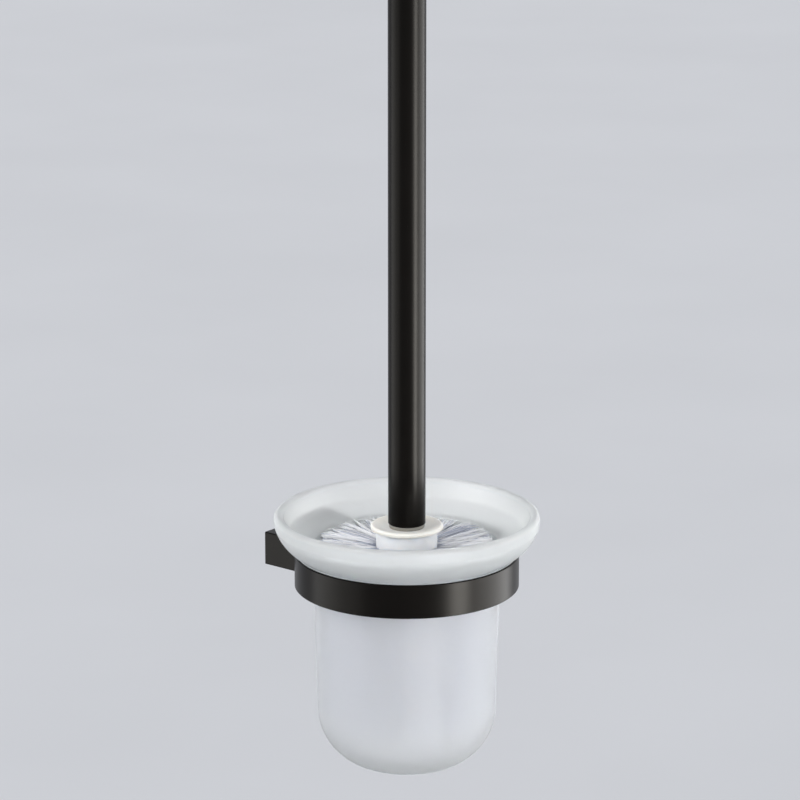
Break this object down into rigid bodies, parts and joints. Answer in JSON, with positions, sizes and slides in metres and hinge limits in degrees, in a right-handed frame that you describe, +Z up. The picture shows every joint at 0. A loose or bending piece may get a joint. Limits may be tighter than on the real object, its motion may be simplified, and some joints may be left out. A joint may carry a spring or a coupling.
{
  "type": "toilet brush holder",
  "caption": "Wall-mounted toilet brush holder: dark metal ring on a block arm, flanged frosted glass cup, and a brush with a long tube handle that unscrews from its head.",
  "frame": {"origin": "on the wall, in the middle of the bracket block's back, midway between the two wall screws", "axes": "+Y into the wall, +Z up, +X to the right seen from the front of the wall"},
  "size_m": [0.1274, 0.1377, 0.3952],
  "materials": {
    "dark_metal": "satin dark bronze-black anodised look",
    "steel": "machined stainless steel",
    "brass": "turned brass",
    "frosted_glass": "acid-etched satin, greenish in the thickness",
    "white_plastic": "moulded, warm white",
    "core_plastic": "moulded, cool white",
    "grey_plastic": "moulded, matte grey",
    "clear_plastic": "translucent moulded",
    "bristle": "white nylon filament with a cool tint"
  },
  "bodies": {
    "bracket": {"wall_plate": "steel", "mount_block": "dark_metal", "grub_screw": "steel", "holder_ring": "dark_metal", "ring_screw_left": "steel", "ring_screw_right": "steel", "ring_liner": "clear_plastic"},
    "cup": {"glass_cup": "frosted_glass"},
    "brush_head": {"splash_collar": "white_plastic", "brush_core": "core_plastic", "core_insert": "brass", "bristle_row_01": "bristle", "bristle_row_02": "bristle", "bristle_row_03": "bristle", "bristle_row_04": "bristle", "bristle_row_05": "bristle", "bristle_row_06": "bristle", "bristle_row_07": "bristle", "bristle_row_08": "bristle", "bristle_row_09": "bristle", "bristle_row_10": "bristle", "bristle_foot": "bristle"},
    "washer": {"neck_washer": "grey_plastic"},
    "handle": {"handle_tube": "dark_metal", "handle_cap": "dark_metal", "handle_plug": "steel", "handle_stud": "steel"}
  },
  "joints": [
    {"name": "cup_lift", "type": "slide", "parent": "bracket", "child": "cup", "axis": [0, 0, 1], "range_m": [0, 0.12]},
    {"name": "brush_lift", "type": "slide", "parent": "cup", "child": "brush_head", "axis": [0, 0, 1], "range_m": [0, 0.125]},
    {"name": "washer_rise", "type": "slide", "parent": "brush_head", "child": "washer", "axis": [0, 0, 1], "range_m": [0, 0.0101]},
    {"name": "handle_unscrew", "type": "hinge", "parent": "washer", "child": "handle", "pos_m": [0, -0.074, 0.023], "axis": [0, 0, 1], "range_deg": [0, 2880]}
  ],
  "couplings": [
    {"joint": "washer_rise", "follows": "handle_unscrew", "m_per_rad": 0.00019894}
  ]
}
